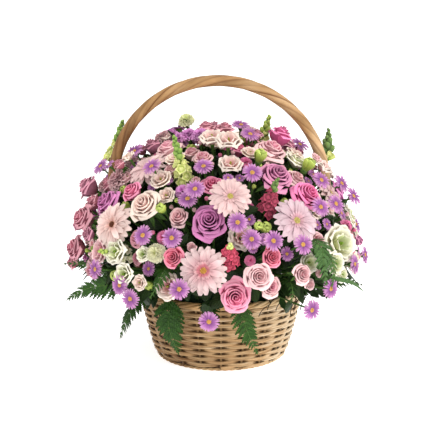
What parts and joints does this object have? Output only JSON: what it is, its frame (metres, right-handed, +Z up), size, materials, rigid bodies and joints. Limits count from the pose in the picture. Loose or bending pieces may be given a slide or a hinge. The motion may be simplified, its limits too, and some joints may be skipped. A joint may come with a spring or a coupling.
{
  "type": "flower basket arrangement",
  "caption": "Woven willow basket with a hoop handle and plastic liner, holding wet floral foam with a round dome of cut roses, gerberas, asters, lisianthus, snapdragons and ferns.",
  "frame": {"origin": "centre of the basket's foot, on the surface it stands on", "axes": "+Z up, the front of the arrangement faces -Y, +X to its right; the handle spans left to right"},
  "size_m": [0.4999, 0.5199, 0.4571],
  "materials": {
    "willow_weave": "satin",
    "willow_rod": "satin",
    "liner_plastic": "satin",
    "wet_foam": "matte",
    "gerbera_petal": "matte",
    "mauve_petal": "matte",
    "pink_petal": "matte",
    "dusty_petal": "matte",
    "lilac_petal": "matte",
    "white_petal": "matte",
    "crimson_petal": "matte",
    "aster_petal": "matte",
    "green_bud": "matte",
    "fern_leaf": "satin"
  },
  "bodies": {
    "root": {"aster_back_left": "aster_petal", "aster_back_low": "aster_petal", "aster_centre_left": "aster_petal", "aster_centre_right": "aster_petal", "aster_crown": "aster_petal", "aster_far_right": "aster_petal", "aster_low": "aster_petal", "aster_low_left": "aster_petal", "aster_low_right": "aster_petal", "aster_right": "aster_petal", "aster_upper_left": "aster_petal", "basket": "willow_weave", "carnation_back": "dusty_petal", "carnation_cream_low": "white_petal", "carnation_dusty_left": "dusty_petal", "carnation_lilac_crown": "lilac_petal", "fern_back_left": "fern_leaf", "fern_back_right": "fern_leaf", "fern_front": "fern_leaf", "fern_front_left": "fern_leaf", "fern_left": "fern_leaf", "fern_right": "fern_leaf", "foam": "wet_foam", "gerbera_back": "gerbera_petal", "gerbera_centre": "gerbera_petal", "gerbera_far_right": "gerbera_petal", "gerbera_left": "gerbera_petal", "gerbera_low": "gerbera_petal", "gerbera_right": "gerbera_petal", "gerbera_upper_left": "gerbera_petal", "handle": "willow_rod", "liner": "liner_plastic", "lisianthus_back": "white_petal", "lisianthus_crown": "white_petal", "lisianthus_far_right": "white_petal", "lisianthus_right": "white_petal", "lisianthus_upper_right": "white_petal", "rose_back_crown": "dusty_petal", "rose_back_left": "dusty_petal", "rose_back_right": "dusty_petal", "rose_back_upper_right": "dusty_petal", "rose_coral_left": "pink_petal", "rose_cream_left": "white_petal", "rose_mauve_centre": "mauve_petal", "rose_mauve_left": "mauve_petal", "rose_mauve_right": "mauve_petal", "rose_pair_crown": "pink_petal", "rose_pair_upper_left": "white_petal", "rose_pink_low": "pink_petal", "rose_pink_right": "pink_petal", "rose_pink_upper": "pink_petal", "rose_trio_left": "dusty_petal", "rose_trio_low_right": "pink_petal", "snapdragon_back": "green_bud", "snapdragon_crimson_low": "crimson_petal", "snapdragon_crimson_right": "crimson_petal", "snapdragon_far_left": "green_bud", "snapdragon_upper_left": "green_bud", "snapdragon_upper_right": "green_bud", "snapdragon_white_left": "green_bud"}
  },
  "joints": []
}
